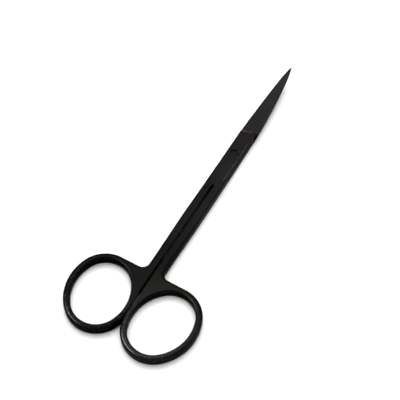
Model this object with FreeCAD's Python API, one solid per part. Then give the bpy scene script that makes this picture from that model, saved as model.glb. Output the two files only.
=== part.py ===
import FreeCAD, Part
import math
import os

Vec = FreeCAD.Vector

# Curved iris scissors, closed, lying on a table. Millimetres.
# Origin on the pivot axis, on the table plane. +Y runs to the tips, +Z up.

# Overall
overall_length = 115.0        # ring ends to blade tips
blade_reach = 39.6            # pivot to blade tips
mid_height = 1.8              # height of the plane where the two halves meet
rings_gap = 0.3               # between the closed rings, side to side
seam_gap = 0.7                # between the closed shanks, narrows along the webs

# Finger rings
ring_hole_width = 17.5        # across the oval hole
ring_hole_length = 21.7       # along the oval hole
ring_end_radius = 7.75        # of the oval's two ends, the sides are flatter
ring_tilt = 13.7              # degrees, each oval leans outwards at its top
ring_bar = 2.05               # width of the ring's bar
ring_thickness = 3.6          # height of the ring's bar
ring_axis_offset = 10.4       # ring centre to the plane between the halves
ring_round = 1.08             # rounding of ring and web edges
ring_ease = 0.6               # chamfer of the hole's edges
web_fillet = 2.2              # inside corner between shank and ring
web_stub = 7.0                # straight end of the shank that belongs to the web

# Shanks
shank_width = 2.48            # one shank, side to side
shank_belly = 0.1             # the shank is this much wider at its middle
shank_round = 0.5             # edge rounding from the shank's middle on
shank_lift = 0.2              # clear height under the middle of the shank

# Lap joint
joint_width = 5.5             # at the shoulders
joint_taper = 0.3             # the joint's +X edge moves in this much from shoulder to blade
plate_thickness = 1.6         # upper half's plate, milled flat for the screw
lap_gap = 0.04                # between the two lap faces
crotch_reach = 14.2           # pivot to the fork between the shanks
neck_reach = 17.0             # pivot to where the shank's edges start to sharpen
shoulder_reach = 9.6          # pivot to the outer end of the shoulder line
shoulder_gap = 0.06           # between a plate's edge and the other half's shoulder
joint_flat_reach = 9.6        # pivot to the step where the blade starts
plate_round = 0.5             # rounding along a plate's long edges
step_skew = 0.43              # how far that step leans along the blade, each side
facet_width = 0.8             # ground facet along one long edge of each plate
facet_depth = 1.05
facet_back = 10.6             # facet's start behind the pivot
facet_front = 4.6             # facet's end in front of the pivot
facet_runout = 3.4

# Blades
bend_start = 7.0              # pivot to where the upward curve begins
tip_rise = 2.9                # how far the curve lifts the tips
root_half_width = 2.82
tip_half_width = 0.18
taper_share = 0.75            # share of the width lost in the long taper
taper_power = 1.4
point_power = 8.0             # the rest is lost close to the point
spine_root = 1.95             # thickness of the spine at the root
spine_tip = 0.34
edge_root = 1.6               # thickness above the cutting bevel at the root
edge_tip = 0.22
bevel_root = 0.3              # width of the cutting bevel at the root
bevel_tip = 0.08
edge_land = 0.06              # flat left at the very edge
spine_chamfer = 0.28
hollow_depth = 0.12           # hollow grind of the inner faces
hollow_radius = 9.0
hollow_start = 11.5
hollow_stop = 34.0
lap_overcut = 0.6             # stock left on the inner faces until the lap is cut

# Pivot screw
head_diameter = 3.0
head_height = 0.5
head_recess = 0.4             # head's top under the plate's face
head_clearance = 0.1          # radial, head to counterbore
head_seat_gap = 0.02          # head's underside to the counterbore's floor
head_chamfer = 0.12
journal_diameter = 2.0
journal_clearance = 0.04      # radial
thread_diameter = 1.6
thread_recess = 0.1           # end of the screw under the lower face
slot_width = 0.35
slot_depth = 0.25
slot_angle = 120.0            # degrees from +X

# Derived
ring_reach = overall_length - blade_reach
bend_length = blade_reach - bend_start
bend_radius = (bend_length ** 2 + tip_rise ** 2) / (2.0 * tip_rise)
plate_top = mid_height + plate_thickness
head_floor = plate_top - head_recess - head_height
tiny = 1.0e-4
reach_out = 2.0 * overall_length      # larger than any cut needs

# The two halves. ring_side is the X side of the ring, up is +1 for the half on top.
halves = {
    "upper_half": {"ring_side": -1, "up": 1, "plate": plate_thickness, "spine": spine_root},
    "lower_half": {"ring_side": 1, "up": -1, "plate": mid_height, "spine": mid_height},
}


def rise(reach):
    # Height of the upward curve at a distance from the pivot
    run = max(reach - bend_start, 0.0)
    return bend_radius - math.sqrt(bend_radius ** 2 - run ** 2)


def prism(points, low, high):
    # Upright prism on a plan polygon
    corners = [Vec(x, y, low) for x, y in points]
    return Part.Face(Part.makePolygon(corners + corners[:1])).extrude(Vec(0, 0, high - low))


def oval_face(ring_side, grow):
    # Tilted oval of four tangent arcs in plan, the ring's hole grown by a margin
    half_width = ring_hole_width / 2.0 + grow
    half_length = ring_hole_length / 2.0 + grow
    end_radius = ring_end_radius + grow
    reach = half_length - end_radius
    side_radius = (reach ** 2 + half_width ** 2 - end_radius ** 2) / (2.0 * (half_width - end_radius))
    slope = math.atan2(reach, side_radius - half_width)
    meet_x = end_radius * math.cos(slope)
    meet_y = reach + end_radius * math.sin(slope)
    plan = [(meet_x, meet_y), (0, half_length), (-meet_x, meet_y), (-half_width, 0),
            (-meet_x, -meet_y), (0, -half_length), (meet_x, -meet_y), (half_width, 0)]
    turn = FreeCAD.Rotation(Vec(0, 0, 1), -ring_side * ring_tilt)
    points = [turn.multVec(Vec(x, y, 0)) + Vec(ring_side * ring_axis_offset, 0, 0) for x, y in plan]
    arcs = [Part.Arc(points[i], points[i + 1], points[(i + 2) % len(points)]).toShape() for i in (0, 2, 4, 6)]
    return Part.Face(Part.Wire(arcs))


# Where the ring's outline puts the ring's centre, its top and the shank's end
ring_box = oval_face(1, ring_bar).optimalBoundingBox()
ring_y = -ring_reach - ring_box.YMin
web_y = ring_y + ring_box.YMax
shank_end = web_y + web_stub
ring_top = ring_y + ring_hole_width / 4.0     # where the closed rings begin to meet


def grip_section(ring_side, y, low, high, width, rounding):
    # Bar section in the plane at y, rounded on the outer side and square along the seam
    inner = seam_gap / 2.0
    outer = inner + width
    bow = rounding * (1.0 - math.sqrt(0.5))
    points = [(inner, low), (outer - rounding, low), (outer - bow, low + bow), (outer, low + rounding),
              (outer, high - rounding), (outer - bow, high - bow), (outer - rounding, high), (inner, high)]
    corners = [Vec(ring_side * u, y, z) for u, z in points]
    return Part.Wire([
        Part.LineSegment(corners[0], corners[1]).toShape(),
        Part.Arc(corners[1], corners[2], corners[3]).toShape(),
        Part.LineSegment(corners[3], corners[4]).toShape(),
        Part.Arc(corners[4], corners[5], corners[6]).toShape(),
        Part.LineSegment(corners[6], corners[7]).toShape(),
        Part.LineSegment(corners[7], corners[0]).toShape(),
    ])


def ring_and_web(ring_side):
    # Oval ring, the web beside it and the end of the shank, with rounded edges
    height = Vec(0, 0, ring_thickness)
    hole = oval_face(ring_side, 0.0).extrude(height)
    outline = oval_face(ring_side, ring_bar).extrude(height)
    hole.translate(Vec(0, ring_y, 0))
    outline.translate(Vec(0, ring_y, 0))
    across = -ring_side * ring_bar
    outer = ring_side * (seam_gap / 2.0 + shank_width)
    crown = ring_side * ring_axis_offset
    web_corners = [(across, shank_end), (outer, shank_end), (outer, web_y), (crown, web_y),
                   (crown, ring_y), (across, ring_y)]
    web = prism(web_corners, 0.0, ring_thickness)
    body = outline.fuse(web).removeSplitter()
    corner = [e for e in body.Edges if upright(e) and near(e, outer, web_y)]
    body = body.makeFillet(web_fillet, corner)
    rims = [e for e in body.Edges if on_rim(e) and e.BoundBox.YMin < shank_end - tiny]
    body = body.makeFillet(ring_round, rims).cut(hole)
    mouth = hole.BoundBox
    mouth.enlarge(tiny)
    body = body.makeChamfer(ring_ease, [e for e in body.Edges if on_rim(e) and mouth.isInside(e.BoundBox)])
    # flat along the seam, which narrows from the shanks to the rings
    seam = ring_side * seam_gap / 2.0
    meet = ring_side * rings_gap / 2.0
    far = ring_side * reach_out
    side = [(seam, reach_out), (seam, shank_end), (meet, ring_top), (meet, -reach_out),
            (far, -reach_out), (far, reach_out)]
    return body.common(prism(side, -reach_out, reach_out))


def upright(edge):
    return edge.BoundBox.ZLength > tiny and edge.BoundBox.XLength < tiny and edge.BoundBox.YLength < tiny


def near(edge, x, y):
    return abs(edge.CenterOfMass.x - x) < tiny and abs(edge.CenterOfMass.y - y) < tiny


def flat_at(edge, z):
    return abs(edge.BoundBox.ZMin - z) < tiny and abs(edge.BoundBox.ZMax - z) < tiny


def on_rim(edge):
    return flat_at(edge, 0.0) or flat_at(edge, ring_thickness)


def shank(ring_side):
    # Bar from the web to the joint, its edges sharpen towards the joint
    middle = (shank_end - crotch_reach) / 2.0
    belly = shank_width + shank_belly
    neck_width = joint_width / 2.0 - seam_gap / 2.0
    sections = [
        grip_section(ring_side, shank_end, 0.0, ring_thickness, shank_width, ring_round),
        grip_section(ring_side, middle, shank_lift, plate_top, belly, shank_round),
        grip_section(ring_side, -neck_reach, 0.0, plate_top, shank_width, shank_round),
        grip_section(ring_side, -shoulder_reach, 0.0, plate_top, neck_width, plate_round),
    ]
    return Part.makeLoft(sections, True, True)


def level(half, y, outward):
    # Height of a point that lies outward from the meeting surface
    return mid_height + rise(y) + half["up"] * outward


def blade_section(half, y):
    along = max((y - joint_flat_reach) / (blade_reach - joint_flat_reach), 0.0)
    narrow = 1.0 - taper_share * along ** taper_power - (1.0 - taper_share) * along ** point_power
    width = tip_half_width + (root_half_width - tip_half_width) * narrow

    def thin(root, tip):
        return tip + (root - tip) * (1.0 - along)

    spine = thin(half["spine"], spine_tip)
    edge = thin(edge_root, edge_tip)
    facet = thin(bevel_root, bevel_tip)
    chamfer = thin(spine_chamfer, bevel_tip / 2.0)
    outline = [(-width, -lap_overcut), (width, -lap_overcut), (width, spine - chamfer),
               (width - chamfer, spine), (-width + facet, edge), (-width, edge_land)]
    side = -half["ring_side"]
    corners = [Vec(side * u, y, level(half, y, v)) for u, v in outline]
    return Part.makePolygon(corners + corners[:1])


def blade(half):
    # Lofted through sections that taper to the tip and follow the upward curve
    root = joint_flat_reach - step_skew - plate_round
    length = blade_reach - root
    stations = [root + length * share for share in (0.0, 0.16, 0.34, 0.52, 0.68, 0.8, 0.89, 0.955, 1.0)]
    body = Part.makeLoft([blade_section(half, y) for y in stations], True)
    side = -half["ring_side"]
    step = [(-side * reach_out, joint_flat_reach - step_skew * reach_out / root_half_width),
            (side * reach_out, joint_flat_reach + step_skew * reach_out / root_half_width),
            (side * reach_out, reach_out * 2.0), (-side * reach_out, reach_out * 2.0)]
    return body.common(prism(step, -reach_out, reach_out))


def plate(half):
    # Half-thickness plate of the lap joint
    side = -half["ring_side"]
    edge = joint_width / 2.0
    inner = seam_gap / 2.0
    outline = [(-side * edge, -shoulder_reach), (-side * (edge - 2.0 * plate_round), -shoulder_reach),
               (-side * (inner + plate_round), -crotch_reach), (-side * inner, -crotch_reach),
               (side * edge, -shoulder_reach),
               (side * edge, joint_flat_reach + step_skew), (-side * edge, joint_flat_reach - step_skew)]
    thick = half["plate"]
    low = mid_height if half["up"] > 0 else mid_height - thick
    body = prism(outline, low, low + thick)
    face = mid_height + half["up"] * thick
    rim = [e for e in body.Edges if flat_at(e, face) and abs(e.CenterOfMass.x) > edge - tiny]
    body = body.makeFillet(plate_round, rim)
    shave = [(edge, plate_round - shoulder_reach), (edge - joint_taper, joint_flat_reach + step_skew),
             (edge - joint_taper, reach_out), (reach_out, reach_out), (reach_out, plate_round - shoulder_reach)]
    return body.cut(prism(shave, -reach_out, reach_out)).cut(side_facet(half))


def side_facet(half):
    # Wedge ground off the plate's long edge, running out at both ends
    side = -half["ring_side"]
    edge = joint_width / 2.0

    def wedge(y, share):
        width = facet_width * share + tiny
        depth = facet_depth * share + tiny
        spread = facet_width
        steep = depth / width
        top = half["plate"] + spread * steep
        points = [(edge - width - spread, top), (edge + spread, half["plate"] - depth - spread * steep),
                  (edge + spread, top)]
        corners = [Vec(side * u, y, mid_height + half["up"] * v) for u, v in points]
        return Part.makePolygon(corners + corners[:1])

    sections = [wedge(-facet_back - facet_runout, 0.0), wedge(-facet_back, 1.0),
                wedge(facet_front, 1.0), wedge(facet_front + facet_runout, 0.0)]
    return Part.makeLoft(sections, True, True)


def lap_space(half):
    # All that lies beyond the meeting surface, a solid of revolution about the pivot
    up = half["up"]
    offset = up * lap_gap / 2.0
    far = blade_reach + bend_start
    start = Vec(0, 0, mid_height + offset)
    bend = Vec(bend_start, 0, mid_height + offset)
    halfway = Vec((bend_start + far) / 2.0, 0, mid_height + offset + rise((bend_start + far) / 2.0))
    end = Vec(far, 0, mid_height + offset + rise(far))
    beyond = -up * reach_out
    edges = [
        Part.LineSegment(start, bend).toShape(),
        Part.Arc(bend, halfway, end).toShape(),
        Part.LineSegment(end, Vec(far, 0, beyond)).toShape(),
        Part.LineSegment(Vec(far, 0, beyond), Vec(0, 0, beyond)).toShape(),
        Part.LineSegment(Vec(0, 0, beyond), start).toShape(),
    ]
    space = Part.Face(Part.Wire(edges)).revolve(Vec(0, 0, 0), Vec(0, 0, 1), 360)
    # it ends at the shoulder that the other half's plate closes against
    side = half["ring_side"]
    fork = (-side * seam_gap / 2.0, -crotch_reach)
    outer = (side * joint_width / 2.0, -shoulder_reach)
    run = math.hypot(outer[0] - fork[0], outer[1] - fork[1])
    along = ((outer[0] - fork[0]) / run, (outer[1] - fork[1]) / run)
    away = (side * abs(along[1]) * shoulder_gap, -abs(along[0]) * shoulder_gap)
    fork = (fork[0] + away[0], fork[1] + away[1])
    beyond_outer = (fork[0] + along[0] * far, fork[1] + along[1] * far)
    region = [fork, beyond_outer, (beyond_outer[0], far * 2.0), (-side * far, far * 2.0), (-side * far, fork[1])]
    return space.common(prism(region, -reach_out, reach_out))


def hollow(half):
    # Ring-shaped cutter that leaves the inner face slightly concave
    up = half["up"]
    points = []
    for y, depth in ((hollow_start, 0.0), ((hollow_start + hollow_stop) / 2.0, hollow_depth), (hollow_stop, 0.0)):
        points.append(Vec(0, y, mid_height + rise(y) + up * (lap_gap / 2.0 + depth - hollow_radius)))
    path = Part.Arc(*points).toShape()
    heading = path.tangentAt(path.FirstParameter)
    circle = Part.Wire(Part.makeCircle(hollow_radius, points[0], heading))
    return Part.Wire(path).makePipeShell([circle], True, False)


def build_half(half):
    body = ring_and_web(half["ring_side"])
    for piece in (shank(half["ring_side"]), plate(half), blade(half)):
        body = body.fuse(piece)
    body = body.cut(lap_space(half)).cut(hollow(half))
    return body


def bore(diameter, low, high):
    return Part.makeCylinder(diameter / 2.0, high - low, Vec(0, 0, low))


def pivot_screw():
    # Slotted head, plain journal for the upper half, threaded end in the lower half
    seat = head_floor + head_seat_gap
    lap_face = mid_height - lap_gap / 2.0
    head = bore(head_diameter, seat, seat + head_height)
    top_rim = [e for e in head.Edges if flat_at(e, seat + head_height)]
    head = head.makeChamfer(head_chamfer, top_rim)
    slot = Part.makeBox(head_diameter * 2.0, slot_width, slot_depth * 2.0,
                        Vec(-head_diameter, -slot_width / 2.0, seat + head_height - slot_depth))
    slot.rotate(Vec(0, 0, 0), Vec(0, 0, 1), slot_angle)
    journal = bore(journal_diameter, lap_face, seat)
    threaded = bore(thread_diameter, thread_recess, lap_face)
    end_rim = [e for e in threaded.Edges if flat_at(e, thread_recess)]
    threaded = threaded.makeChamfer(thread_recess, end_rim)
    return head.cut(slot).fuse(journal).fuse(threaded)


upper = build_half(halves["upper_half"])
upper = upper.cut(bore(journal_diameter + 2.0 * journal_clearance, mid_height - plate_thickness, plate_top))
upper = upper.cut(bore(head_diameter + 2.0 * head_clearance, head_floor, plate_top + plate_thickness))
lower = build_half(halves["lower_half"])
lower = lower.cut(bore(thread_diameter, -mid_height, plate_top))

nodes = {"upper_half": upper, "lower_half": lower, "pivot_screw": pivot_screw()}
os.makedirs("parts", exist_ok=True)
for name, shape in nodes.items():
    solid = shape.Solids[0] if len(shape.Solids) == 1 else shape
    solid.exportStep("parts/" + name + ".step")
    print(name, "valid", solid.isValid(), "solids", len(shape.Solids), "volume", round(solid.Volume, 2))
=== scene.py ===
import math
import bmesh
import bpy
from mathutils import Matrix, Vector


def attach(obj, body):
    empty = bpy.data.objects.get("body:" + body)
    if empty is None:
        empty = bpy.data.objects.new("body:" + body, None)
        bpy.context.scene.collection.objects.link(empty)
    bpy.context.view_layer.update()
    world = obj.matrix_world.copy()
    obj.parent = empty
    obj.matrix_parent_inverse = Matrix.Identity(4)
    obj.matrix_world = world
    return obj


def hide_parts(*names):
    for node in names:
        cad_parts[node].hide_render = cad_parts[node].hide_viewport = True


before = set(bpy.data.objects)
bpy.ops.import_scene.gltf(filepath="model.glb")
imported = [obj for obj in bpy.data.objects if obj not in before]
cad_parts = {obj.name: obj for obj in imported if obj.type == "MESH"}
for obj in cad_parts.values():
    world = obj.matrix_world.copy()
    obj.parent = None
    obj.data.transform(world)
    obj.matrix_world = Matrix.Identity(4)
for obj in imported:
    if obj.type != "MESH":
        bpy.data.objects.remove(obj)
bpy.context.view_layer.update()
mm = 0.001
print("frame loaded")


def linearColour(hexText):  # sRGB hex to the linear colour that nodes take
    parts = [int(hexText[i:i + 2], 16) / 255 for i in (1, 3, 5)]
    return [p / 12.92 if p <= 0.04045 else ((p + 0.055) / 1.055) ** 2.4 for p in parts] + [1.0]


def addNode(tree, kind, inputs=None, **settings):  # one node with its settings, values and links
    node = tree.nodes.new(kind)
    for key, value in settings.items():
        setattr(node, key, value)
    for key, value in (inputs or {}).items():
        if isinstance(value, bpy.types.NodeSocket):
            tree.links.new(value, node.inputs[key])
        else:
            node.inputs[key].default_value = value
    return node


def standIn(piece, nodeName, bodyName):  # its modifiers become mesh, then it replaces the node
    bpy.context.scene.collection.objects.link(piece)
    bpy.context.view_layer.update()
    done = bpy.data.meshes.new_from_object(piece.evaluated_get(bpy.context.evaluated_depsgraph_get()))
    piece.modifiers.clear()
    piece.data = done
    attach(piece, bodyName)
    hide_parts(nodeName)


# The two forgings, closed up from their CAD triangles
halfShape = {
    "weldDistance": 0.0005 * mm,
    "flatAngle": 0.4,             # degrees, facets this close to one plane become one face
    "sharpAngle": 50.0,           # degrees, edges sharper than this stay crisp
    "faceWeight": 80,             # above 50, so the large faces lead the shading
    "facetMark": "groundFacet",   # face attribute, 1 on the ground facet beside the joint
    "facetNormal": (0.795, 0.0, 0.606),   # on the upper half
    "facetSpread": 18.0,          # degrees, the facet's ends turn this much as they run out
    "facetBack": -14.5 * mm,      # where it ends, towards the rings
}

# Black-coated stainless steel: forged, ground satin, then coated
upperCoat = {
    "toneAndSheenAlong": (                # mm from the pivot, and the colour there: the coat's tone with painted sheen, paler up the blade towards its tip, and painted light and shade that set how bright the rings look
        (-75.0, "#0a0b0b"), (-70.0, "#070707"), (-62.0, "#090909"), (-54.0, "#0a0909"),
        (-46.0, "#090808"), (-31.0, "#0c0b0c"), (-17.0, "#0b0a0a"), (-9.0, "#0f0e0e"),
        (9.3, "#0e0c0d"), (9.9, "#131112"), (22.0, "#151313"), (38.0, "#131516")),
    "rubbedAndHighlightColour": "#6a6768",      # coat rubbed thin, and the colour of the painted highlights
    "facetSheenColour": "#1f1e1e",    # the joint's side facet, painted paler: a painted reflection of the light from the right
    "flatMirror": 0.48,           # how much the matt coat still mirrors at a flat angle
    "cloudSize": 7.0 * mm,        # slow change of tone
    "cloudSpan": (0.3, 0.7),      # of the noise, from its darkest to its palest
    "cloudShare": 0.12,
    "grainSize": 0.35 * mm,       # blasted grain, really 0.05 mm, drawn coarser so that it shows
    "lineWidth": 0.25 * mm,       # belt-grinding lines along the tool
    "lineLength": 9.0 * mm,
    "surfaceSpan": (0.7, 1.3),    # of grain and lines together, from smoothest to roughest
    "smoothest": 0.22,
    "roughest": 0.34,
    "relief": 0.004 * mm,
    "edgeRadius": 0.08 * mm,      # ground edges are never quite sharp
    "edgeSamples": 6,
    "paleEdgeWidth": 0.22 * mm,
    "paleEdgeSpan": (0.995, 0.86),    # cosine of the turn to the rounded normal, from not paled to fully paled
    "crestHighlightPlace": (2.3 * mm, -3.0 * mm),   # painted highlight along the facet's long edge, its crest, strongest here
    "crestHighlightReach": (0.6 * mm, 8.5 * mm),
    "crestHighlight": 0.55,
    "edgeWear": 0.1,              # share of the rubbing on all other edges
    "patchSize": 1.8 * mm,        # the rubbed edges and painted highlights break up at this length
    "patchSpan": (0.4, 0.6),      # of the noise, from least paled to fully paled
    "leastPaling": 0.2,
    "speckSize": 0.8 * mm,        # pale specks on the rings: rubbed coat and painted glints
    "speckSpan": (0.52, 0.68),    # of the noise, only its peaks show
    "speckRubAndGlint": 0.04,
    "speckAlong": (-55.0 * mm, -63.0 * mm),   # they come in between these places
    "seamShadeColour": "#020202",      # painted shade along the seam between the shanks, widening its dark gap
    "seamPlace": (0.0, -36.0 * mm),
    "seamReach": (0.45 * mm, 22.0 * mm),
    "stepHighlight": 0.16,             # painted highlight on the line where the blade's grind stops
    "stepPlace": 9.6 * mm,
    "stepWidth": 0.2 * mm,        # each side of the line
    "stepLean": 0.1525,           # its rise across the blade
    "stepFace": (0.0, 0.0, 1.0),  # the line shows on this side
    "stepSpan": (0.8, 0.95),      # cosine from that side, from hidden to shown
}

# The same on the other half, turned over
lowerCoat = dict(
    upperCoat, crestHighlightPlace=(-2.3 * mm, -3.0 * mm), stepLean=-0.1525, stepFace=(0.0, 0.0, -1.0),
    # its tones along the tool carry painted sheen and shade too
    toneAndSheenAlong=(
        (-75.0, "#151615"), (-66.0, "#131313"), (-56.0, "#0e0e0e"), (-51.0, "#0d0d0b"),
        (-46.0, "#090808"), (-31.0, "#0c0b0b"), (-17.0, "#0d0c0c"), (-10.0, "#0f0e0e"),
        (10.0, "#131112"), (38.0, "#131516")))


def satinSurface(tree, place, look):  # grain and grinding lines, as roughness and as relief
    acrossScale, alongScale = 1 / look["lineWidth"], 1 / look["lineLength"]
    grain = addNode(tree, "ShaderNodeTexNoise", {
        "Vector": place, "Scale": 1 / look["grainSize"], "Detail": 2.0})
    stretch = addNode(tree, "ShaderNodeMapping", {
        "Vector": place, "Scale": (acrossScale, alongScale, acrossScale)})
    lines = addNode(tree, "ShaderNodeTexNoise", {
        "Vector": stretch.outputs["Vector"], "Scale": 1.0, "Detail": 2.0})
    surface = addNode(tree, "ShaderNodeMath", {0: grain.outputs["Fac"], 1: lines.outputs["Fac"]},
                      operation="ADD")
    rough = addNode(tree, "ShaderNodeMapRange", {
        "Value": surface.outputs["Value"], "From Min": look["surfaceSpan"][0],
        "From Max": look["surfaceSpan"][1], "To Min": look["smoothest"], "To Max": look["roughest"]})
    soft = addNode(tree, "ShaderNodeBevel", {"Radius": look["edgeRadius"]}, samples=look["edgeSamples"])
    relief = addNode(tree, "ShaderNodeBump", {
        "Height": surface.outputs["Value"], "Distance": look["relief"], "Normal": soft.outputs["Normal"]})
    return rough.outputs["Result"], relief.outputs["Normal"]


def toneAndSheen(tree, place, spot, look):  # the colour along the tool: the coat's tone with painted sheen and shade, and slow clouds
    stops = look["toneAndSheenAlong"]
    first, last = stops[0][0], stops[-1][0]
    share = addNode(tree, "ShaderNodeMapRange", {
        "Value": spot["Y"], "From Min": first * mm, "From Max": last * mm})
    ramp = addNode(tree, "ShaderNodeValToRGB", {"Fac": share.outputs["Result"]})
    for stop in stops[2:]:
        ramp.color_ramp.elements.new((stop[0] - first) / (last - first))
    for element, (reach, tone) in zip(ramp.color_ramp.elements, stops):
        element.position = (reach - first) / (last - first)
        element.color = linearColour(tone)
    cloud = addNode(tree, "ShaderNodeTexNoise", {
        "Vector": place, "Scale": 1 / look["cloudSize"], "Detail": 3.0})
    depth = addNode(tree, "ShaderNodeMapRange", {
        "Value": cloud.outputs["Fac"], "From Min": look["cloudSpan"][0], "From Max": look["cloudSpan"][1],
        "To Min": 1 - look["cloudShare"], "To Max": 1 + look["cloudShare"]})

    # a Mix node takes its two colours at 6 and 7, and gives the mixed one at 2
    coat = addNode(tree, "ShaderNodeMix", {
        "Factor": 1.0, 6: ramp.outputs["Color"], 7: depth.outputs["Result"]},
        data_type="RGBA", blend_type="MULTIPLY")
    return coat.outputs[2]


def insideBox(tree, spot, middle, reach):  # 1 where X and Y are both within reach of the middle
    across = addNode(tree, "ShaderNodeMath", {0: spot["X"], 1: middle[0], 2: reach[0]}, operation="COMPARE")
    along = addNode(tree, "ShaderNodeMath", {0: spot["Y"], 1: middle[1], 2: reach[1]}, operation="COMPARE")
    both = addNode(tree, "ShaderNodeMath", {0: across.outputs["Value"], 1: along.outputs["Value"]},
                   operation="MULTIPLY")
    return both.outputs["Value"]


def rubbedAndHighlightShare(tree, place, spot, look):  # how far the colour pales, from 0 to 1: rubbed coat, and painted highlights on the facet's crest, the grind's line and the rings
    normal = addNode(tree, "ShaderNodeNewGeometry").outputs["Normal"]

    # the edges: rubbed coat, and a painted highlight most of all along the facet's crest
    edgeBevel = addNode(tree, "ShaderNodeBevel", {"Radius": look["paleEdgeWidth"]}, samples=look["edgeSamples"])
    agree = addNode(tree, "ShaderNodeVectorMath", {0: edgeBevel.outputs["Normal"], 1: normal},
                    operation="DOT_PRODUCT")
    edge = addNode(tree, "ShaderNodeMapRange", {
        "Value": agree.outputs["Value"], "From Min": look["paleEdgeSpan"][0], "From Max": look["paleEdgeSpan"][1]})
    much = addNode(tree, "ShaderNodeMapRange", {
        "Value": insideBox(tree, spot, look["crestHighlightPlace"], look["crestHighlightReach"]),
        "To Min": look["edgeWear"], "To Max": look["crestHighlight"]})
    rubbedAndLit = addNode(tree, "ShaderNodeMath", {0: edge.outputs["Result"], 1: much.outputs["Result"]},
                     operation="MULTIPLY")

    # a painted highlight on the line where the blade's grind stops
    past = addNode(tree, "ShaderNodeVectorMath", {0: place, 1: (-look["stepLean"], 1.0, 0.0)},
                   operation="DOT_PRODUCT")
    line = addNode(tree, "ShaderNodeMath", {
        0: past.outputs["Value"], 1: look["stepPlace"], 2: look["stepWidth"]}, operation="COMPARE")
    facing = addNode(tree, "ShaderNodeVectorMath", {0: normal, 1: look["stepFace"]},
                     operation="DOT_PRODUCT")
    shown = addNode(tree, "ShaderNodeMapRange", {
        "Value": facing.outputs["Value"], "From Min": look["stepSpan"][0], "From Max": look["stepSpan"][1],
        "To Max": look["stepHighlight"]})
    step = addNode(tree, "ShaderNodeMath", {0: line.outputs["Value"], 1: shown.outputs["Result"]},
                   operation="MULTIPLY")
    edgesAndLine = addNode(tree, "ShaderNodeMath", {0: rubbedAndLit.outputs["Value"], 1: step.outputs["Value"]},
                   operation="MAXIMUM")

    # both break up into patches
    patch = addNode(tree, "ShaderNodeTexNoise", {
        "Vector": place, "Scale": 1 / look["patchSize"], "Detail": 2.0})
    broken = addNode(tree, "ShaderNodeMapRange", {
        "Value": patch.outputs["Fac"], "From Min": look["patchSpan"][0], "From Max": look["patchSpan"][1],
        "To Min": look["leastPaling"]})
    patchy = addNode(tree, "ShaderNodeMath", {0: edgesAndLine.outputs["Value"], 1: broken.outputs["Result"]},
                     operation="MULTIPLY")

    # pale specks on the rings: rubbed coat and painted glints
    fleck = addNode(tree, "ShaderNodeTexNoise", {
        "Vector": place, "Scale": 1 / look["speckSize"], "Detail": 1.0})
    held = addNode(tree, "ShaderNodeMapRange", {
        "Value": spot["Y"], "From Min": look["speckAlong"][0], "From Max": look["speckAlong"][1],
        "To Max": look["speckRubAndGlint"]})
    specks = addNode(tree, "ShaderNodeMapRange", {
        "Value": fleck.outputs["Fac"], "From Min": look["speckSpan"][0], "From Max": look["speckSpan"][1],
        "To Max": held.outputs["Result"]})
    paleShare = addNode(tree, "ShaderNodeMath", {0: patchy.outputs["Value"], 1: specks.outputs["Result"]},
                   operation="MAXIMUM")
    return paleShare.outputs["Value"]


def blackCoatedSteel(name, look):  # gives the eye a soft dark sheen, a little paler where it is rubbed; painted sheen, painted highlights and painted shade are in its colour
    material = bpy.data.materials.new(name)
    material.use_nodes = True
    tree = material.node_tree
    tree.nodes.clear()
    place = addNode(tree, "ShaderNodeTexCoord").outputs["Object"]
    spot = addNode(tree, "ShaderNodeSeparateXYZ", {"Vector": place}).outputs
    rough, relief = satinSurface(tree, place, look)
    facet = addNode(tree, "ShaderNodeAttribute", attribute_name=halfShape["facetMark"])
    # the facet is painted paler, a painted reflection
    ground = addNode(tree, "ShaderNodeMix", {
        "Factor": facet.outputs["Fac"], 6: toneAndSheen(tree, place, spot, look),
        7: linearColour(look["facetSheenColour"])}, data_type="RGBA")
    # pale edges: rubbed coat, and painted highlights
    rubbedAndLit = addNode(tree, "ShaderNodeMix", {
        "Factor": rubbedAndHighlightShare(tree, place, spot, look), 6: ground.outputs[2],
        7: linearColour(look["rubbedAndHighlightColour"])}, data_type="RGBA")
    # painted shade along the seam
    seamShaded = addNode(tree, "ShaderNodeMix", {
        "Factor": insideBox(tree, spot, look["seamPlace"], look["seamReach"]), 6: rubbedAndLit.outputs[2],
        7: linearColour(look["seamShadeColour"])}, data_type="RGBA")
    shader = addNode(tree, "ShaderNodeBsdfPrincipled", {
        "Base Color": seamShaded.outputs[2], "Metallic": 1.0,
        "Specular Tint": [look["flatMirror"]] * 3 + [1.0], "Roughness": rough, "Normal": relief})
    addNode(tree, "ShaderNodeOutputMaterial", {"Surface": shader.outputs["BSDF"]})
    return material


def closeForging(mesh, up):  # welds the triangles, marks the ground facet, keeps the crisp edges
    shape = bmesh.new()
    shape.from_mesh(mesh)
    bmesh.ops.remove_doubles(shape, verts=shape.verts, dist=halfShape["weldDistance"])
    bmesh.ops.dissolve_limit(shape, angle_limit=math.radians(halfShape["flatAngle"]),
                             use_dissolve_boundaries=False, verts=shape.verts, edges=shape.edges)
    ground = Vector(halfShape["facetNormal"]) * up
    mark = shape.faces.layers.float.new(halfShape["facetMark"])
    for face in shape.faces:
        face.smooth = True
        inFacet = face.normal.angle(ground) < math.radians(halfShape["facetSpread"])
        face[mark] = float(inFacet and face.calc_center_median().y > halfShape["facetBack"])
    for edge in shape.edges:
        edge.smooth = edge.is_manifold and edge.calc_face_angle(0.0) < math.radians(halfShape["sharpAngle"])
    shape.to_mesh(mesh)
    shape.free()


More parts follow.
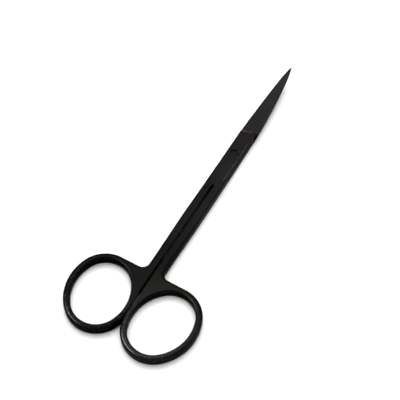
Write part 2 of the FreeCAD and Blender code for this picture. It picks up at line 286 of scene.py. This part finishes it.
def finishedHalf(nodeName, bodyName, up, material):  # up is -1 on the half that is turned over
    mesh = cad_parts[nodeName].data.copy()
    mesh.name = nodeName + "Forging"
    closeForging(mesh, up)
    mesh.materials.clear()
    mesh.materials.append(material)
    half = bpy.data.objects.new(nodeName + "Forging", mesh)
    weigh = half.modifiers.new("weigh", "WEIGHTED_NORMAL")
    weigh.keep_sharp = True
    weigh.weight = halfShape["faceWeight"]
    standIn(half, nodeName, bodyName)


upperFinish = blackCoatedSteel("satin black coat on steel", upperCoat)
lowerFinish = blackCoatedSteel("satin black coat on steel, lower half", lowerCoat)
finishedHalf("upper_half", "upper_body", 1, upperFinish)
finishedHalf("lower_half", "lower_body", -1, lowerFinish)
print("halves finished")


# The pivot screw, turned, threaded and slotted. Heights are above the table, at the pivot.
screwSizes = {
    "Screw end": 0.1 * mm,
    "Lap face": 1.78 * mm,
    "Head seat": 2.52 * mm,
    "Head top": 3.02 * mm,
    "Thread radius": 0.79 * mm,
    "Thread depth": 0.21 * mm,
    "Thread pitch": 0.35 * mm,
    "End chamfer": 0.1 * mm,
    "Journal radius": 1.0 * mm,
    "Head radius": 1.5 * mm,
    "Head chamfer": 0.12 * mm,
    "Slot width": 0.35 * mm,
    "Slot depth": 0.25 * mm,
    "Slot angle": math.radians(120.0),
}
screwMesh = {
    "sides": 48,
    "threadRows": 44,
    "threadFade": 0.0625,         # share of the thread's length over which each end runs out
    "crispAngle": 30.0,           # degrees, edges sharper than this stay crisp
    "mergeDistance": 0.001 * mm,
}
screwCoat = dict(
    upperCoat, cloudSize=2.0 * mm, lineWidth=0.12 * mm, lineLength=0.8 * mm, edgeRadius=0.06 * mm,
    paleEdgeWidth=0.1 * mm, stepHighlight=0.0)


def threadCrest(tree, size, fineness, turn, share, height):  # the radius along the thread
    # tooth is 0 on the crest and one half at the root, so the cut is doubled further down
    climb = addNode(tree, "ShaderNodeMath", {0: height, 1: size["Thread pitch"]}, operation="DIVIDE")
    wind = addNode(tree, "ShaderNodeMath", {0: turn, 1: -1 / math.tau, 2: climb.outputs[0]},
                   operation="MULTIPLY_ADD")
    tooth = addNode(tree, "ShaderNodeMath", {0: wind.outputs[0], 1: 0.5}, operation="PINGPONG")

    # 1 over most of the thread, running down to 0 at both its ends
    inward = addNode(tree, "ShaderNodeMath", {0: share, 1: 0.5}, operation="PINGPONG")
    fade = addNode(tree, "ShaderNodeMath", {0: inward.outputs[0], 1: 1 / fineness["threadFade"]},
                   operation="MULTIPLY", use_clamp=True)

    cut = addNode(tree, "ShaderNodeMath", {0: tooth.outputs[0], 1: size["Thread depth"]},
                  operation="MULTIPLY")
    cut = addNode(tree, "ShaderNodeMath", {0: cut.outputs[0], 1: fade.outputs[0]}, operation="MULTIPLY")
    cut = addNode(tree, "ShaderNodeMath", {0: cut.outputs[0], 1: 2.0}, operation="MULTIPLY")
    crest = addNode(tree, "ShaderNodeMath", {0: size["Thread radius"], 1: cut.outputs[0]},
                    operation="SUBTRACT")
    return crest.outputs[0]


def slotCutter(tree, size):  # a block centred on the head's top, so it is twice as deep as the slot
    length = addNode(tree, "ShaderNodeMath", {0: size["Head radius"], 1: 3.0}, operation="MULTIPLY")
    deep = addNode(tree, "ShaderNodeMath", {0: size["Slot depth"], 1: 2.0}, operation="MULTIPLY")
    block = addNode(tree, "ShaderNodeCombineXYZ", {
        "X": length.outputs[0], "Y": size["Slot width"], "Z": deep.outputs[0]})
    cutter = addNode(tree, "GeometryNodeMeshCube", {"Size": block.outputs[0]})
    heading = addNode(tree, "ShaderNodeCombineXYZ", {"Z": size["Slot angle"]})
    lift = addNode(tree, "ShaderNodeCombineXYZ", {"Z": size["Head top"]})
    placed = addNode(tree, "GeometryNodeTransform", {
        "Geometry": cutter.outputs["Mesh"], "Translation": lift.outputs[0], "Rotation": heading.outputs[0]})
    return placed.outputs[0]


def turnedScrewTree(sizes, fineness):  # every row of a grid becomes one ring of the turned profile
    tree = bpy.data.node_groups.new("turned screw", "GeometryNodeTree")
    for name in sizes:
        tree.interface.new_socket(name, in_out="INPUT", socket_type="NodeSocketFloat")
    tree.interface.new_socket("Coat", in_out="INPUT", socket_type="NodeSocketMaterial")
    tree.interface.new_socket("Screw", in_out="OUTPUT", socket_type="NodeSocketGeometry")
    size = addNode(tree, "NodeGroupInput").outputs
    endRings, threadRows, headRings = 2, fineness["threadRows"], 6
    rows = endRings + threadRows + 1 + headRings
    grid = addNode(tree, "GeometryNodeMeshGrid", {
        "Size X": math.tau, "Size Y": rows - 1.0, "Vertices X": fineness["sides"] + 1, "Vertices Y": rows})
    position = addNode(tree, "GeometryNodeInputPosition")
    spot = addNode(tree, "ShaderNodeSeparateXYZ", {"Vector": position.outputs[0]}).outputs
    turn = spot["X"]
    row = addNode(tree, "ShaderNodeMath", {0: spot["Y"], 1: (rows - 1) / 2}, operation="ADD").outputs[0]

    # how far along the thread a row is, how high it lies, and which ring of the profile it belongs to
    share = addNode(tree, "ShaderNodeMapRange", {
        "Value": row, "From Min": endRings, "From Max": endRings + threadRows}).outputs["Result"]
    base = addNode(tree, "ShaderNodeMath", {0: size["Screw end"], 1: size["End chamfer"]}, operation="ADD")
    height = addNode(tree, "ShaderNodeMapRange", {
        "Value": share, "To Min": base.outputs[0], "To Max": size["Lap face"]}).outputs["Result"]
    past = addNode(tree, "ShaderNodeMath", {0: share, 1: -float(threadRows), 2: row},
                   operation="MULTIPLY_ADD")
    ring = addNode(tree, "ShaderNodeMath", {0: past.outputs[0]}, operation="ROUND")

    # radius and height of each ring, from the screw's end up to the middle of its head
    endFace = addNode(tree, "ShaderNodeMath", {0: size["Thread radius"], 1: size["End chamfer"]},
                      operation="SUBTRACT")
    headFace = addNode(tree, "ShaderNodeMath", {0: size["Head radius"], 1: size["Head chamfer"]},
                       operation="SUBTRACT")
    headSide = addNode(tree, "ShaderNodeMath", {0: size["Head top"], 1: size["Head chamfer"]},
                       operation="SUBTRACT")
    profile = (
        (0.0, size["Screw end"]),
        (endFace.outputs[0], size["Screw end"]),
        (threadCrest(tree, size, fineness, turn, share, height), height),
        (size["Journal radius"], size["Lap face"]),
        (size["Journal radius"], size["Head seat"]),
        (size["Head radius"], size["Head seat"]),
        (size["Head radius"], headSide.outputs[0]),
        (headFace.outputs[0], size["Head top"]),
        (0.0, size["Head top"]),
    )
    chosen = []
    for values in zip(*profile):
        switch = addNode(tree, "GeometryNodeIndexSwitch", {"Index": ring.outputs[0]}, data_type="FLOAT")
        for number, value in enumerate(values):
            if number > 1:  # the node comes with two items
                switch.index_switch_items.new()
            if isinstance(value, bpy.types.NodeSocket):
                tree.links.new(value, switch.inputs[number + 1])
        chosen.append(switch.outputs[0])
    arm = addNode(tree, "ShaderNodeCombineXYZ", {"X": chosen[0], "Z": chosen[1]}).outputs[0]
    swung = addNode(tree, "ShaderNodeVectorRotate", {"Vector": arm, "Angle": turn}, rotation_type="Z_AXIS")
    turned = addNode(tree, "GeometryNodeSetPosition", {
        "Geometry": grid.outputs["Mesh"], "Position": swung.outputs[0]})
    closed = addNode(tree, "GeometryNodeMergeByDistance", {
        "Geometry": turned.outputs[0], "Distance": fineness["mergeDistance"]})
    slotted = addNode(tree, "GeometryNodeMeshBoolean", {
        "Mesh 1": closed.outputs[0], "Mesh 2": slotCutter(tree, size)},
        operation="DIFFERENCE", solver="EXACT")

    bend = addNode(tree, "GeometryNodeInputMeshEdgeAngle").outputs["Unsigned Angle"]
    crisp = addNode(tree, "FunctionNodeCompare", {"A": bend, "B": math.radians(fineness["crispAngle"])},
                    operation="GREATER_THAN")
    smooth = addNode(tree, "GeometryNodeSetShadeSmooth", {
        "Geometry": slotted.outputs["Mesh"], "Shade Smooth": True})
    sharp = addNode(tree, "GeometryNodeSetShadeSmooth", {
        "Geometry": smooth.outputs[0], "Selection": crisp.outputs[0], "Shade Smooth": False}, domain="EDGE")
    whole = addNode(tree, "GeometryNodeRealizeInstances", {"Geometry": sharp.outputs[0]})
    coated = addNode(tree, "GeometryNodeSetMaterial", {
        "Geometry": whole.outputs[0], "Material": size["Coat"]})
    addNode(tree, "NodeGroupOutput", {"Screw": coated.outputs[0]})
    return tree


def turnedScrew(nodeName, bodyName, sizes, fineness, material):
    tree = turnedScrewTree(sizes, fineness)
    screw = bpy.data.objects.new("turnedScrew", bpy.data.meshes.new("turnedScrew"))
    modifier = screw.modifiers.new("turn", "NODES")
    modifier.node_group = tree
    for socket in tree.interface.items_tree:
        if socket.in_out == "INPUT":
            modifier[socket.identifier] = material if socket.name == "Coat" else sizes[socket.name]
    standIn(screw, nodeName, bodyName)


screwFinish = blackCoatedSteel("satin black coat on turned screw", screwCoat)
turnedScrew("pivot_screw", "lower_body", screwSizes, screwMesh, screwFinish)
print("screw finished")


# Pale table in a bright room, a white panel overhead and a low window whose glint the rings catch
studio = {
    "tableSize": 3.0,
    "tableColour": "#fafafa",
    "tableRoughness": 0.9,
    "roomColour": "#ffffff",
    "roomStrength": 0.85,
}
overheadPanel = {
    "name": "overhead panel",
    "place": (-0.16, 0.2, 0.6),
    "along": (1.0, 0.0, 0.0),     # direction of its first side
    "size": (0.6, 0.6),
    "power": 4.2,
    "colour": "#ffffff",
    "lightsTable": True,
}
lowWindow = {
    "name": "low window",
    "place": (-0.347, -0.227, 0.433),
    "along": (0.706, -0.587, 0.407),
    "size": (0.36, 0.03),
    "power": 13.0,
    "colour": "#fffaf2",
    "lightsTable": False,         # only its reflection counts
}
sideCard = {
    "name": "white card on the right",
    "place": (0.5, 0.3, 0.25),
    "along": (-0.5, 0.86, 0.0),
    "size": (0.6, 0.5),
    "power": 2.4,
    "colour": "#ffffff",
    "lightsTable": False,
}


def paleTable(look):
    half = look["tableSize"] / 2
    corners = [(-half, -half, 0), (half, -half, 0), (half, half, 0), (-half, half, 0)]
    mesh = bpy.data.meshes.new("table")
    mesh.from_pydata(corners, [], [(0, 1, 2, 3)])
    material = bpy.data.materials.new("matt white card")
    material.use_nodes = True
    tree = material.node_tree
    tree.nodes.clear()
    shader = addNode(tree, "ShaderNodeBsdfPrincipled", {
        "Base Color": linearColour(look["tableColour"]), "Roughness": look["tableRoughness"],
        "Specular IOR Level": 0.0})
    addNode(tree, "ShaderNodeOutputMaterial", {"Surface": shader.outputs["BSDF"]})
    mesh.materials.append(material)
    table = bpy.data.objects.new("table", mesh)
    bpy.context.scene.collection.objects.link(table)
    return table


def areaLight(look):  # it faces the pivot
    light = bpy.data.lights.new(look["name"], "AREA")
    light.shape = "RECTANGLE"
    light.size, light.size_y = look["size"]
    light.energy = look["power"]
    light.color = linearColour(look["colour"])[:3]
    lamp = bpy.data.objects.new(look["name"], light)
    lamp.location = look["place"]
    away = Vector(look["place"]).normalized()
    side = Vector(look["along"])
    side = (side - away * side.dot(away)).normalized()
    lamp.rotation_euler = Matrix((side, away.cross(side), away)).transposed().to_euler()
    lamp.visible_diffuse = look["lightsTable"]
    bpy.context.scene.collection.objects.link(lamp)
    return lamp


def brightRoom(look):
    world = bpy.data.worlds.new("room")
    world.use_nodes = True
    tree = world.node_tree
    tree.nodes.clear()
    glow = addNode(tree, "ShaderNodeBackground", {
        "Color": linearColour(look["roomColour"]), "Strength": look["roomStrength"]})
    addNode(tree, "ShaderNodeOutputWorld", {"Surface": glow.outputs["Background"]})
    bpy.context.scene.world = world


paleTable(studio)
areaLight(overheadPanel)
areaLight(lowWindow)
areaLight(sideCard)
brightRoom(studio)
bpy.context.scene.view_settings.view_transform = "Standard"
print("studio ready")

# The view: from the handle end, a little to the right, looking down on the table
view = {
    "azimuth": 29.85,             # degrees that the camera stands to the right of the handles
    "elevation": 57.28,           # degrees above the table
    "distance": 313.5 * mm,
    "target": (-1.828 * mm, -18.941 * mm, 0.0),
    "lens": 89.93,                # mm, as the width of the sensor is
    "sensor": 36.0,
}


def addCamera(look):
    turn, lift = math.radians(look["azimuth"]), math.radians(look["elevation"])
    back = Vector((math.sin(turn) * math.cos(lift), -math.cos(turn) * math.cos(lift), math.sin(lift)))
    data = bpy.data.cameras.new("camera")
    data.lens = look["lens"]
    data.sensor_width = look["sensor"]
    camera = bpy.data.objects.new("camera", data)
    camera.location = Vector(look["target"]) + back * look["distance"]
    camera.rotation_euler = back.to_track_quat("Z", "Y").to_euler()
    bpy.context.scene.collection.objects.link(camera)
    bpy.context.scene.camera = camera


addCamera(view)
print("camera set")
